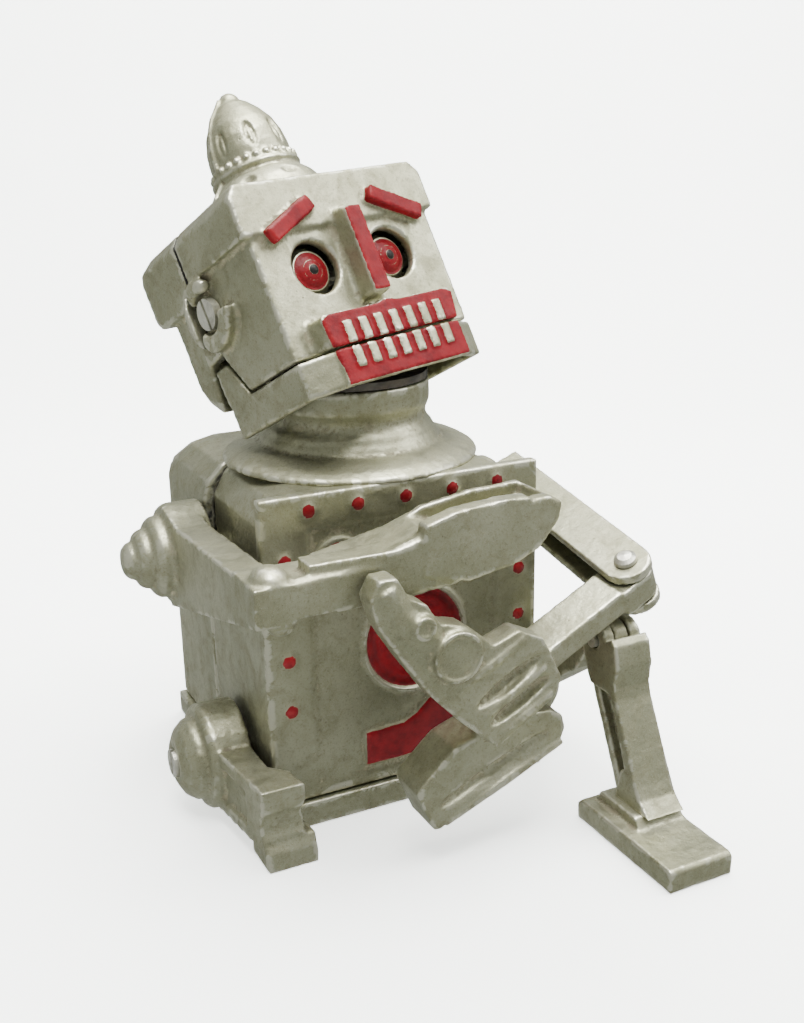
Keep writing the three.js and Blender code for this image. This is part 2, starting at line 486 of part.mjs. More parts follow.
// ---------------------------------------------------------------- inside the body
{
  piece('lever_pin', cylX(1.9, -35.9, 35.9, leverPin[0], leverPin[1], 20), steel);
  const hub = cylX(5.6, -8, 1, leverPin[0], leverPin[1], 28);
  const arm = prismX([[12, 53.4], [-13.4, 56.2], [-13.6, 52.6], [8, 43], [12, 42.6], [38, 45.4], [55, 41.4],
    [62, 40], [62, 43.4], [55, 45.4], [38, 50.4]], -8, 1);
  const foot = box(-17, 6, -13.5, -8, 52.6, 56.2);
  const pad = box(-9, 6, 4.6, 11.6, 50, 53.9);
  const thumb = prismX([[54, 40.6], [64, 38.6], [64.4, 42.4], [54, 45]], -10.5, 3.5);
  piece('operating_lever', cut(join(hub, arm, foot, pad, thumb), cylX(2.2, -20, 20, leverPin[0], leverPin[1], 20)),
    steel);

  const chute = join(
    prismX([[-2.4, 87.4], [-1, 87.4], [-17, 72.6], [-18.4, 72.6]], -16.5, 16.5),
    box(-33.4, 33.4, -18.4, -17, 46, 72.7));
  piece('coin_chute', chute, dark);

  for (const [name, [x, z]] of [['tie_screw_upper', tiePosts[1]], ['tie_screw_lower', tiePosts[0]]]) {
    const screw = join(cylY(3.6, 40.8, 43, x, z, 24), cylY(1.7, -12, 41, x, z, 18));
    piece(name, cut(screw, box(x - 5, x + 5, 42.1, 44, z - 0.5, z + 0.5)), steel);
  }

  class Helix extends THREE.Curve {
    getPoint(t) {
      const angle = t * 2 * Math.PI * 7;
      return new THREE.Vector3(-3.5 + 3.1 * Math.cos(angle), 31 + 3.1 * Math.sin(angle), 9.9 + 33.4 * t);
    }
  }
  const ringPoints = [];
  for (let i = 0; i < 6; i += 1) {
    ringPoints.push(new THREE.Vector2(0.55 * Math.cos(i * Math.PI / 3), 0.55 * Math.sin(i * Math.PI / 3)));
  }
  const wire = new THREE.ExtrudeGeometry(new THREE.Shape(ringPoints),
    { steps: 84, extrudePath: new Helix(), bevelEnabled: false });
  piece('return_spring', toSolid(wire), steel);
}

export default group;
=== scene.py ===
"""Looks of the seated cast robot figure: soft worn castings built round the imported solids."""
import math

import bpy
import numpy as np
from mathutils import Matrix, Vector


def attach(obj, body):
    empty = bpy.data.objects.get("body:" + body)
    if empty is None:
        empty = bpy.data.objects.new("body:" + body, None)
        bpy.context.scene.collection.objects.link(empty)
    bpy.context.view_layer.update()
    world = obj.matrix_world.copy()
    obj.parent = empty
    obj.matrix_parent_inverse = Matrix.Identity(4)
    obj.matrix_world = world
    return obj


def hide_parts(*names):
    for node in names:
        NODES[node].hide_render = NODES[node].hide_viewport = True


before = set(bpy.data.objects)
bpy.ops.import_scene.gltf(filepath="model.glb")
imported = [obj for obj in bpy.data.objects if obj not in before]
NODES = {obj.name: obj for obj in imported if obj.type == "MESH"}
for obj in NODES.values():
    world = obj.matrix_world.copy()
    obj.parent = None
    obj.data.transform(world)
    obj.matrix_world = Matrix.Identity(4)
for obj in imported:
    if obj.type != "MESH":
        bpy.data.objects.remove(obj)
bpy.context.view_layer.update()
SCENE = bpy.context.scene
MM = 0.001

# ------------------------------------------------------------------ the head's own frame, in mm
HEAD = (Matrix.Translation((4, -22.75, 124.4)) @ Matrix.Rotation(math.radians(16.3), 4, "Z")
        @ Matrix.Rotation(math.radians(-3.4), 4, "Y") @ Matrix.Rotation(math.radians(-26.7), 4, "X"))
HEAD_INV = HEAD.inverted()
TURN_Y = -5.4              # the upright axis of the neck
EAR = (25.0, 23.0)         # y and z of the ear screws, in the head's frame
EYE = (13.0, 9.6, 22.8)    # the left eyeball's centre, in the head's frame
CROWN_Y = 26.5             # the crown's axis, in the head's frame


# ------------------------------------------------------------------ shapes: (points, faces) in mm
def prism(points, axis, a, b):
    """A prism of an outline. Axis x takes (y, z) pairs, y takes (x, z) and z takes (x, y)."""
    put = {"x": lambda p, t: (t, p[0], p[1]), "y": lambda p, t: (p[0], t, p[1]),
           "z": lambda p, t: (p[0], p[1], t)}[axis]
    n = len(points)
    verts = [put(p, a) for p in points] + [put(p, b) for p in points]
    faces = [tuple(range(n))[::-1], tuple(range(n, 2 * n))]
    faces += [(i, (i + 1) % n, n + (i + 1) % n, n + i) for i in range(n)]
    return verts, faces


def block(x0, x1, y0, y1, z0, z1):
    return prism([(x0, y0), (x1, y0), (x1, y1), (x0, y1)], "z", z0, z1)


def lathe(profile, segments=40):
    """Turned about Z. The profile is (radius, height) pairs and starts and ends on the axis."""
    verts, faces = [(0, 0, profile[0][1])], []
    rings = profile[1:-1]
    for r, h in rings:
        verts += [(r * math.cos(2 * math.pi * k / segments), r * math.sin(2 * math.pi * k / segments), h)
                  for k in range(segments)]
    verts.append((0, 0, profile[-1][1]))
    last = len(verts) - 1
    for k in range(segments):
        j = (k + 1) % segments
        faces.append((0, 1 + j, 1 + k))
        for i in range(len(rings) - 1):
            a, b = 1 + i * segments, 1 + (i + 1) * segments
            faces.append((a + k, a + j, b + j, b + k))
        top = 1 + (len(rings) - 1) * segments
        faces.append((top + k, top + j, last))
    return verts, faces


def ball(rx, ry=None, rz=None, rings=14, segments=24):
    ry, rz = ry or rx, rz or rx
    profile = [(0, -1)] + [(math.sin(math.pi * i / rings), -math.cos(math.pi * i / rings))
                           for i in range(1, rings)] + [(0, 1)]
    verts, faces = lathe(profile, segments)
    return [(x * rx, y * ry, z * rz) for x, y, z in verts], faces


def torus(R, r, n=48, m=10):
    verts = []
    for i in range(n):
        a = 2 * math.pi * i / n
        for j in range(m):
            b = 2 * math.pi * j / m
            out = R + r * math.cos(b)
            verts.append((out * math.cos(a), out * math.sin(a), r * math.sin(b)))
    faces = [(i * m + j, ((i + 1) % n) * m + j, ((i + 1) % n) * m + (j + 1) % m, i * m + (j + 1) % m)
             for i in range(n) for j in range(m)]
    return verts, faces


def sweep(path, radius, m=10):
    """A round bar along a path; radius is a number or one number for each point."""
    path = [Vector(p) for p in path]
    radii = radius if isinstance(radius, (list, tuple)) else [radius] * len(path)
    verts, faces = [], []
    for i, p in enumerate(path):
        d = (path[min(i + 1, len(path) - 1)] - path[max(i - 1, 0)]).normalized()
        side = d.cross(Vector((0.31, 0.2, 0.93))).normalized()
        up = side.cross(d)
        for k in range(m):
            a = 2 * math.pi * k / m
            verts.append(tuple(p + (side * math.cos(a) + up * math.sin(a)) * radii[i]))
    for i in range(len(path) - 1):
        for k in range(m):
            j = (k + 1) % m
            faces.append((i * m + k, i * m + j, (i + 1) * m + j, (i + 1) * m + k))
    faces.append(tuple(range(m))[::-1])
    faces.append(tuple((len(path) - 1) * m + k for k in range(m)))
    return verts, faces


def moved(shape, matrix):
    return [tuple(matrix @ Vector(v)) for v in shape[0]], shape[1]


def at(shape, x, y, z, rx=0, ry=0, rz=0):
    m = Matrix.Translation((x, y, z)) @ Matrix.Rotation(math.radians(rz), 4, "Z") \
        @ Matrix.Rotation(math.radians(ry), 4, "Y") @ Matrix.Rotation(math.radians(rx), 4, "X")
    return moved(shape, m)


def facing_front(shape, x, y, z):
    """Stands a shape that was made round Z upright, so that its axis runs front to back."""
    return moved(shape, Matrix.Translation((x, y, z)) @ Matrix.Rotation(math.pi / 2, 4, "X"))


def in_head(shapes):
    return [moved(s, HEAD) for s in shapes]


def merged(shapes):
    verts, faces = [], []
    for v, f in shapes:
        n = len(verts)
        verts += list(v)
        faces += [tuple(i + n for i in face) for face in f]
    return verts, faces


def of_node(name):
    mesh = NODES[name].data
    return [tuple(v.co * 1000) for v in mesh.vertices], [tuple(p.vertices) for p in mesh.polygons]


# ------------------------------------------------------------------ mesh work
def new_object(name, shape):
    mesh = bpy.data.meshes.new(name)
    mesh.from_pydata(shape[0], [], shape[1])
    mesh.validate()
    obj = bpy.data.objects.new(name, mesh)
    SCENE.collection.objects.link(obj)
    return obj


def applied(obj):
    dg = bpy.context.evaluated_depsgraph_get()
    mesh = bpy.data.meshes.new_from_object(obj.evaluated_get(dg))
    old = obj.data
    obj.modifiers.clear()
    obj.data = mesh
    bpy.data.meshes.remove(old)
    return obj


def fused(obj, voxel):
    mod = obj.modifiers.new("fuse", "REMESH")
    mod.mode = "VOXEL"
    mod.voxel_size = voxel
    mod.use_smooth_shade = True
    return applied(obj)


def less(obj, cutter):
    mod = obj.modifiers.new("cut", "BOOLEAN")
    mod.operation = "DIFFERENCE"
    mod.solver = "MANIFOLD"
    mod.object = cutter
    applied(obj)
    data = cutter.data
    bpy.data.objects.remove(cutter)
    bpy.data.meshes.remove(data)
    return obj


def arrays(mesh):
    n = len(mesh.vertices)
    co = np.empty(n * 3)
    mesh.vertices.foreach_get("co", co)
    edges = np.empty(len(mesh.edges) * 2, np.int64)
    mesh.edges.foreach_get("vertices", edges)
    return co.reshape(-1, 3), edges.reshape(-1, 2)


def averaged(values, edges, count):
    """The mean of each vertex's neighbours."""
    a, b = edges[:, 0], edges[:, 1]
    degree = np.maximum(np.bincount(a, minlength=count) + np.bincount(b, minlength=count), 1)
    if values.ndim == 1:
        total = np.bincount(a, values[b], count) + np.bincount(b, values[a], count)
        return total / degree
    return np.stack([averaged(values[:, k], edges, count) for k in range(values.shape[1])], 1)


def shape_of(obj):
    """Takes an object's mesh out as a plain shape, and deletes the object."""
    data = obj.data
    shape = ([tuple(v.co) for v in data.vertices], [tuple(p.vertices) for p in data.polygons])
    bpy.data.objects.remove(obj)
    bpy.data.meshes.remove(data)
    return shape


def softened(obj, rounds):
    """Rounds the edges over. The volume is kept by a second, outward pass of each round."""
    co, edges = arrays(obj.data)
    n = len(co)
    for _ in range(rounds):
        co = co + 0.5 * (averaged(co, edges, n) - co)
        co = co - 0.42 * (averaged(co, edges, n) - co)
    obj.data.vertices.foreach_set("co", co.ravel())
    obj.data.update()
    return obj


def roughened(obj, amounts):
    """Sand-cast unevenness: each amount is (grain size in mm, height in mm)."""
    for size, height in amounts:
        texture = bpy.data.textures.new("grain", "CLOUDS")
        texture.noise_scale = size
        texture.noise_depth = 2
        mod = obj.modifiers.new("grain", "DISPLACE")
        mod.texture = texture
        mod.texture_coords = "LOCAL"
        mod.strength = height
        mod.mid_level = 0.5
    return applied(obj)


def set_attribute(mesh, name, values):
    layer = mesh.attributes.get(name) or mesh.attributes.new(name, "FLOAT", "POINT")
    layer.data.foreach_set("value", np.asarray(values, np.float32))


def normals_of(mesh):
    out = np.empty(len(mesh.vertices) * 3)
    mesh.vertex_normals.foreach_get("vector", out)
    return out.reshape(-1, 3)


def read_surface(obj, paint):
    """Stores where edges rub bright, where hollows take grime and painted shade, and where red paint and
    black lie: black print on the pupils, painted black shade in the seams and round the eyeballs.
    """
    mesh = obj.data
    co, edges = arrays(mesh)
    n = len(co)
    normal = normals_of(mesh)
    smooth_co = co.copy()
    for _ in range(3):
        smooth_co = averaged(smooth_co, edges, n)
    fine = ((co - smooth_co) * normal).sum(1)
    for _ in range(2):
        fine = 0.5 * fine + 0.5 * averaged(fine, edges, n)
    for _ in range(22):
        smooth_co = averaged(smooth_co, edges, n)
    broad = ((co - smooth_co) * normal).sum(1)
    for _ in range(3):
        broad = 0.5 * broad + 0.5 * averaged(broad, edges, n)
    set_attribute(mesh, "wear", np.clip(fine / 0.17 + broad / 1.0, 0, 1.5))
    # Grime and painted shade: the concave measure marks hollows, creases and gaps, standing in for occlusion
    # shade as well as grime.
    set_attribute(mesh, "grime_and_shade", np.clip(-fine / 0.16 - broad / 0.9, 0, 1.5))
    red, black = np.zeros(n), np.zeros(n)
    if paint:
        red, black = paint(co, normal)
    set_attribute(mesh, "red", red)
    set_attribute(mesh, "black", black)


def casting(name, node, body, voxel=0.55, base=(), cuts=(), details=(), first=8, last=2,
            grain=((3.0, 0.10), (0.9, 0.05)), paint=None, material=None):
    """A soft casting that stands for one CAD node: fused, rounded, then given its small details."""
    obj = new_object(name, merged([of_node(node), *base]))
    fused(obj, voxel)
    if cuts:
        cutter = new_object(name + "_tool", merged(cuts))
        fused(cutter, voxel * 0.8)
        less(obj, cutter)
        fused(obj, voxel)
    softened(obj, first)
    if details:
        obj = new_object(name, merged([shape_of(obj), *details]))
        fused(obj, voxel)
    softened(obj, last)
    roughened(obj, grain)
    read_surface(obj, paint)
    obj.data.transform(Matrix.Scale(MM, 4))
    obj.data.shade_smooth()
    obj.data.materials.clear()
    obj.data.materials.append(material or SILVER)
    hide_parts(node)
    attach(obj, body)
    return obj


# ------------------------------------------------------------------ materials
class Nodes:
    def __init__(self, name):
        self.material = bpy.data.materials.new(name)
        self.material.use_nodes = True
        self.tree = self.material.node_tree
        self.tree.nodes.clear()
        self.out = self.tree.nodes.new("ShaderNodeOutputMaterial")
        self.shader = self.tree.nodes.new("ShaderNodeBsdfPrincipled")
        self.link(self.shader.outputs[0], self.out.inputs[0])
        self.coords = self.tree.nodes.new("ShaderNodeTexCoord").outputs["Object"]

    def link(self, a, b):
        self.tree.links.new(a, b)

    def noise(self, scale, detail=4.0, rough=0.55, distortion=0.0):
        n = self.tree.nodes.new("ShaderNodeTexNoise")
        n.inputs["Scale"].default_value = scale
        n.inputs["Detail"].default_value = detail
        n.inputs["Roughness"].default_value = rough
        n.inputs["Distortion"].default_value = distortion
        self.link(self.coords, n.inputs["Vector"])
        return n.outputs["Fac"]

    def cells(self, scale):
        n = self.tree.nodes.new("ShaderNodeTexVoronoi")
        n.inputs["Scale"].default_value = scale
        self.link(self.coords, n.inputs["Vector"])
        return n.outputs["Distance"]

    def attribute(self, name):
        n = self.tree.nodes.new("ShaderNodeAttribute")
        n.attribute_name = name
        return n.outputs["Fac"]

    def math(self, kind, a, b=None, c=None, clamp=False):
        n = self.tree.nodes.new("ShaderNodeMath")
        n.operation = kind
        n.use_clamp = clamp
        for socket, value in zip(n.inputs, (a, b, c)):
            if value is None:
                continue
            if isinstance(value, (int, float)):
                socket.default_value = value
            else:
                self.link(value, socket)
        return n.outputs[0]

    def ramp(self, value, low, high, out_low=0.0, out_high=1.0):
        n = self.tree.nodes.new("ShaderNodeMapRange")
        n.interpolation_type = "SMOOTHSTEP"
        for k, v in zip(("From Min", "From Max", "To Min", "To Max"), (low, high, out_low, out_high)):
            n.inputs[k].default_value = v
        self.link(value, n.inputs["Value"])
        return n.outputs["Result"]

    def mix(self, factor, a, b):
        n = self.tree.nodes.new("ShaderNodeMix")
        n.data_type = "RGBA"
        for socket, value in ((n.inputs[0], factor), (n.inputs[6], a), (n.inputs[7], b)):
            if isinstance(value, (int, float)):
                socket.default_value = value
            elif isinstance(value, tuple):
                socket.default_value = (*value, 1.0)
            else:
                self.link(value, socket)
        return n.outputs[2]

    def bump(self, layers):
        last = None
        for height, strength, distance in layers:
            n = self.tree.nodes.new("ShaderNodeBump")
            n.inputs["Strength"].default_value = strength
            n.inputs["Distance"].default_value = distance
            self.link(height, n.inputs["Height"])
            if last is not None:
                self.link(last, n.inputs["Normal"])
            last = n.outputs[0]
        self.link(last, self.shader.inputs["Normal"])


def silver_paint():
    """Aged silver paint on cast metal: grainy, rubbed bright in places, darkened in hollows by grime and
    painted shade, partly red.
    """
    m = Nodes("silver_paint_cast")
    broad = m.noise(34, 3)
    cloud = m.noise(150, 5, 0.62, 0.8)
    blotch = m.noise(420, 4, 0.65, 0.4)
    speck = m.noise(1500, 3, 0.7)
    flake = m.noise(4200, 2, 0.8)
    wear = m.attribute("wear")
    grime_and_shade = m.attribute("grime_and_shade")
    base = m.mix(m.ramp(broad, 0.35, 0.65), (0.28, 0.278, 0.185), (0.365, 0.36, 0.255))
    base = m.mix(m.ramp(cloud, 0.45, 0.70, 0.0, 0.45), base, (0.19, 0.18, 0.11))
    base = m.mix(m.ramp(blotch, 0.52, 0.72, 0.0, 0.28), base, (0.16, 0.15, 0.092))
    base = m.mix(m.ramp(speck, 0.5, 0.75, 0.0, 0.45), base, (0.115, 0.108, 0.07))
    base = m.mix(m.ramp(flake, 0.55, 0.8, 0.0, 0.5), base, (0.66, 0.65, 0.54))
    rub = m.math("MULTIPLY", wear, m.ramp(cloud, 0.40, 0.62, 1.25, 0.1))
    rubbed = m.ramp(rub, 0.35, 1.0)
    base = m.mix(m.math("MULTIPLY", rubbed, 0.55), base, (0.62, 0.61, 0.50))
    # Grime and painted shade: hollows turn dark brown, less metallic and rougher.
    hollow_grime_and_shade = m.math("MULTIPLY", grime_and_shade, m.ramp(blotch, 0.36, 0.62, 0.25, 1.3))
    grimed_and_shaded = m.ramp(hollow_grime_and_shade, 0.25, 1.15)
    base = m.mix(m.math("MULTIPLY", grimed_and_shaded, 0.75), base, (0.085, 0.07, 0.042))
    pit = m.math("MULTIPLY", m.ramp(m.cells(260), 0.0, 0.10, 1.0, 0.0), m.ramp(m.noise(90, 2), 0.52, 0.6))
    base = m.mix(m.math("MULTIPLY", pit, 0.7), base, (0.10, 0.085, 0.06))
    edge = m.math("MULTIPLY", m.math("SUBTRACT", m.noise(700, 3), 0.5), 0.5)
    ragged = m.math("ADD", m.attribute("red"), edge)
    red = m.ramp(ragged, 0.42, 0.56)
    red_tone = m.mix(m.ramp(m.noise(260, 5, 0.65), 0.3, 0.75), (0.13, 0.0018, 0.0045), (0.07, 0.001, 0.003))
    red_tone = m.mix(m.math("MULTIPLY", m.ramp(rub, 0.6, 1.2), 0.25), red_tone, (0.22, 0.025, 0.025))
    # Grime and painted shade darken the red in the hollows too.
    red_tone = m.mix(m.math("MULTIPLY", grimed_and_shaded, 0.5), red_tone, (0.06, 0.008, 0.008))
    base = m.mix(red, base, red_tone)
    # Black: print on the pupils, and painted shade in the seams and round the eyeballs.
    black = m.ramp(m.attribute("black"), 0.4, 0.6)
    base = m.mix(black, base, (0.012, 0.011, 0.01))
    covered = m.math("MAXIMUM", red, black)
    m.link(base, m.shader.inputs["Base Color"])
    m.shader.inputs["Specular IOR Level"].default_value = 0.14
    metal = m.math("MULTIPLY", m.math("SUBTRACT", 1.0, covered), m.ramp(grimed_and_shaded, 0.2, 1.0, 0.9, 0.3))
    m.link(metal, m.shader.inputs["Metallic"])
    grit = m.math("MULTIPLY", m.math("SUBTRACT", speck, 0.5), 0.3)
    rough = m.math("ADD", m.ramp(cloud, 0.3, 0.7, 0.36, 0.52), grit)
    rough = m.math("SUBTRACT", rough, m.math("MULTIPLY", rubbed, 0.06))
    rough = m.math("ADD", rough, m.math("MULTIPLY", grimed_and_shaded, 0.25), clamp=True)
    m.link(rough, m.shader.inputs["Roughness"])
    m.bump([(m.noise(330, 4, 0.6), 0.45, 0.00035), (blotch, 0.3, 0.0002), (speck, 0.4, 0.00012),
            (flake, 0.3, 0.00006), (m.math("MULTIPLY", pit, -1.0), 0.5, 0.0002)])
    return m.material


def bare_metal(name, light, dark, metallic, rough_low, rough_high, scale=1.0):
    """Unpainted metal of the small and inner pieces: stained, with fine scratches in its bump."""
    m = Nodes(name)
    cloud = m.noise(180 * scale, 5, 0.65, 0.8)
    fine = m.noise(2600 * scale, 3, 0.7)
    tone = m.mix(m.ramp(cloud, 0.35, 0.68), light, dark)
    tone = m.mix(m.ramp(fine, 0.55, 0.8, 0.0, 0.35), tone, tuple(min(1.0, c * 1.7) for c in light))
    tone = m.mix(m.ramp(m.noise(60 * scale, 3), 0.55, 0.72, 0.0, 0.5), tone, (0.10, 0.075, 0.045))
    m.link(tone, m.shader.inputs["Base Color"])
    m.shader.inputs["Metallic"].default_value = metallic
    m.link(m.ramp(cloud, 0.3, 0.7, rough_low, rough_high), m.shader.inputs["Roughness"])
    m.bump([(cloud, 0.2, 0.0002), (fine, 0.3, 0.00008)])
    return m.material


SILVER = silver_paint()
STEEL = bare_metal("worn_steel", (0.62, 0.61, 0.53), (0.36, 0.35, 0.29), 0.9, 0.28, 0.5)
CAST = bare_metal("bare_casting", (0.30, 0.295, 0.25), (0.17, 0.165, 0.14), 0.75, 0.42, 0.62)
# Painted shade: the neck yoke is made near black for the deep shadow under the chin.
SHADE_DARK_CASTING = bare_metal("painted_shade_casting", (0.05, 0.045, 0.035), (0.02, 0.018, 0.015), 0.3, 0.6, 0.8)
SHEET = bare_metal("dull_sheet", (0.24, 0.235, 0.21), (0.13, 0.12, 0.10), 0.8, 0.4, 0.6)


# ------------------------------------------------------------------ where the red paint, the black print and the painted black shade lie
def inside(value, low, high, soft=0.25):
    """1 between low and high, falling to 0 over the soft distance."""
    return np.clip((value - low) / soft + 0.5, 0, 1) * np.clip((high - value) / soft + 0.5, 0, 1)


def head_local(co):
    m = np.array(HEAD_INV)
    return co @ m[:3, :3].T + m[:3, 3]


def head_seam_painted_shade(co, normal):
    """Painted shade: near black on the two rims that face each other where the head's halves meet, inside
    the shadowed gap.
    """
    y = head_local(co)[:, 1]
    return np.zeros(len(co)), inside(y, 29.0, 30.15, 0.3)


# Painted shade: near black on the rims of the body's two shells where they meet, inside the shadowed seam.
def body_seam_painted_shade(co, normal):
    return np.zeros(len(co)), inside(co[:, 1], 4.2, 5.0, 0.3)


def tooth_places():
    return [(k - 3) * 5.15 for k in range(7)]


def face_paint(co, normal):
    p = head_local(co)
    x, y, z = p[:, 0], p[:, 1], p[:, 2]
    facing = (normal @ np.array(HEAD_INV)[:3, :3].T)[:, 1]
    ahead = np.clip((-facing - 0.45) / 0.3, 0, 1)
    nose = inside(x, -2.7, 2.7) * inside(z, 12.2, 35.2) * np.clip((-5.6 - y) / 0.3, 0, 1) * ahead
    brows = np.zeros(len(co))
    for s in (1, -1):
        along = ((x * s - 17.7) * 0.908 + (z - 35.2) * -0.419)
        across = ((x * s - 17.7) * 0.419 + (z - 35.2) * 0.908)
        brows = np.maximum(brows, inside(along, -9.0, 9.3) * inside(across, -2.5, 2.7))
    brows = brows * np.clip((-1.5 - y) / 0.4, 0, 1)
    lip_top = 8.9 + 0.7 * np.exp(-(x / 2.5) ** 2) - np.clip((np.abs(x) - 20.0) * 0.5, 0, 4)
    lips = inside(np.abs(x), -1, 21.7 + np.clip(z, -6, 9) * 0.1) * inside(z, -9.6, 50)
    lips = lips * np.clip((lip_top - z) / 0.25, 0, 1)
    lips = lips * np.clip((-5.0 - y) / 0.3, 0, 1)
    teeth = np.zeros(len(co))
    for t in tooth_places():
        height = np.where(z > 0, inside(z, -0.1, 6.3), inside(z, -5.9, 0.3))
        teeth = np.maximum(teeth, inside(x, t - 1.35, t + 1.35) * height)
    raised = np.clip((-6.05 - y) / 0.15, 0, 1)
    red = np.maximum(np.maximum(nose, brows), lips * (1 - teeth * raised))
    # The black here is the painted shade in the head's seam.
    return red, head_seam_painted_shade(co, normal)[1] * (z > 11)


# The chest's relief, as x and z on the body's front: a swept band, rivets, a large disc and two small ones.
BAND = [(-12.9, 12.9), (-12.9, 22.3), (-8, 22.6), (-1.5, 22.8), (2.4, 24.8), (5.7, 27.9), (10, 31),
        (13.1, 31.5), (19.6, 27.2), (19, 25), (15.5, 22.2), (13.1, 20.3), (9, 16.4), (4.2, 13.2), (-4, 12.8)]
RIVETS = [(x, 87.3) for x in (-27, -13.5, 0, 13.5, 27)] + \
    [(s * 34, z) for z in (75, 61.5, 48, 34) for s in (-1, 1)]
DISC = (2.6, 47.0, 14.7)
SMALL_DISCS = [(-19, 72, 6.0), (19, 72, 6.0)]


def in_outline(x, z, outline, soft=0.3):
    """1 inside a closed outline, falling to 0 over the soft distance outside it."""
    inner = np.zeros(len(x), bool)
    near = np.full(len(x), 1e9)
    n = len(outline)
    for i in range(n):
        (ax, az), (bx, bz) = outline[i], outline[(i + 1) % n]
        crossing = ((az > z) != (bz > z)) & (x < (bx - ax) * (z - az) / ((bz - az) or 1e-9) + ax)
        inner ^= crossing
        t = np.clip(((x - ax) * (bx - ax) + (z - az) * (bz - az)) / ((bx - ax) ** 2 + (bz - az) ** 2), 0, 1)
        near = np.minimum(near, np.hypot(x - ax - t * (bx - ax), z - az - t * (bz - az)))
    return np.clip(0.5 + np.where(inner, near, -near) / soft, 0, 1)


def body_paint(co, normal):
    x, y, z = co[:, 0], co[:, 1], co[:, 2]
    front = np.clip((-37.6 - y) / 0.4, 0, 1)
    red = np.zeros(len(co))
    for cx, cz in RIVETS:
        red = np.maximum(red, inside(np.hypot(x - cx, z - cz), -1, 1.75, 0.3))
    cx, cz, r = DISC
    red = np.maximum(red, inside(np.hypot(x - cx, z - cz), -1, r - 0.5, 0.4))
    for cx, cz, r in SMALL_DISCS:
        red = np.maximum(red, inside(np.hypot(x - cx, z - cz), -1, r - 0.3, 0.4))
    band = in_outline(x, z, BAND) * np.clip((-39.5 - y) / 0.2, 0, 1)
    # The black here is the painted shade in the body's seam.
    return np.maximum(red, band) * front, body_seam_painted_shade(co, normal)[1]


def eye_paint(side):
    centre = np.array((EYE[0] * side, EYE[1], EYE[2]))
    aim = np.array((0.02 * side, -1.0, -0.02))
    aim /= np.linalg.norm(aim)

    def paint(co, normal):
        p = head_local(co) - centre
        ahead = p @ aim
        off = np.linalg.norm(p - ahead[:, None] * aim, axis=1)
        off = np.where(ahead > 0, off, 99)
        red = inside(off, 1.35, 5.1, 0.3) * (1 - 0.55 * inside(off, 2.55, 2.95, 0.3))
        # Black on the pupil is print; black on the ball beyond 7 mm from the aim axis is painted shade for
        # the dark gap in the socket.
        black = np.maximum(inside(off, -1, 1.3, 0.3), np.clip((off - 7.0) / 0.5, 0, 1) * 0.9)
        return red, black
    return paint


# ------------------------------------------------------------------ head
teeth_upper = [block(t - 1.35, t + 1.35, -6.5, -4.8, 0.45, 6.2) for t in tooth_places()]
lip_upper = [(-21.6, 0.45), (21.6, 0.45), (22.6, 8.0), (21.6, 9.0), (4.2, 8.9), (0, 9.8), (-4.2, 8.9),
             (-21.6, 9.0), (-22.6, 8.0)]
nose_foot = [prism([(-3.6, 0.6), (3.6, 0.6), (2.8, -5.2), (-2.8, -5.2)], "z", 11.6, 36.0)]
muzzle_sides = [prism([(20.4 * s, -4.9), (22.3 * s, -4.9), (23.6 * s, 0.6), (20.4 * s, 0.6)], "z", 0.5, 8.7)
                for s in (1, -1)]
brow_feet = [prism([(8.9 * s, 37.5), (10.7 * s, 41.0), (26.5 * s, 33.4), (24.8 * s, 29.8)], "y", -1.6, 0.6)
             for s in (1, -1)]
# The ear cup's rounded lip is a crescent, open towards the face and upwards.
ear_lips = []
for s in (1, -1):
    turns = [math.radians(-100 + 10 * k) for k in range(23)]
    lip = [(32.8 * s, EAR[0] + 7.5 * math.cos(t), EAR[1] + 7.5 * math.sin(t)) for t in turns]
    ear_lips.append(sweep(lip, [1.4] + [1.95] * 21 + [1.4], 12))
brow_bars = [prism([(9.1 * s, 37.2), (10.9 * s, 40.9), (26.3 * s, 33.4), (24.5 * s, 29.7)], "y", -3.9, -1.5)
             for s in (1, -1)]
nose_bar = block(-2.7, 2.7, -6.5, -4.4, 12.2, 35.2)
rear_trim = block(-40, 40, 29.45, 31.5, -2, 60)
casting("face_casting", "head_front_shell", "head", 0.5, first=9, last=2, paint=face_paint,
        base=in_head(nose_foot + brow_feet + ear_lips + muzzle_sides), cuts=in_head([rear_trim]),
        details=in_head([prism(lip_upper, "y", -5.95, -4.6), nose_bar] + teeth_upper + brow_bars))

seam_bead = sweep([(30.3, 36.2, 12), (30.6, 34.9, 20), (30.6, 33.4, 26)], 0.75)
seam_beads = [seam_bead, moved(seam_bead, Matrix.Scale(-1, 4, (1, 0, 0)))]
casting("head_back_casting", "head_back_shell", "head", 0.55, first=12, last=2,
        details=in_head(seam_beads), paint=head_seam_painted_shade)

teeth_lower = [block(t - 1.35, t + 1.35, -6.5, -4.8, -5.8, -0.35) for t in tooth_places()]
lip_lower = [(-21.2, -0.35), (21.2, -0.35), (21.3, -6), (21.4, -9.7), (0, -9.5), (-21.4, -9.7), (-21.3, -6)]
edge_beads = [sweep([(30.1 * s, 34.5, 9.6), (30.2 * s, 34.5, 4), (30.1 * s, 34.2, -0.2)], 0.5)
              for s in (1, -1)]
casting("jaw_casting", "jaw", "jaw_body", 0.5, first=6, last=2,
        details=in_head([prism(lip_lower, "y", -5.95, -4.6)] + teeth_lower + edge_beads), paint=face_paint)

# The crown: two swelling tiers with sunk drops, a row of beads and a casting fin up one side.
def round_crown(shape, radius, height, angle):
    """Puts a shape at a radius, height and angle round the crown's axis, turned to face outwards."""
    x, y = radius * math.sin(angle), CROWN_Y - radius * math.cos(angle)
    return at(shape, x, y, height, rz=math.degrees(angle))


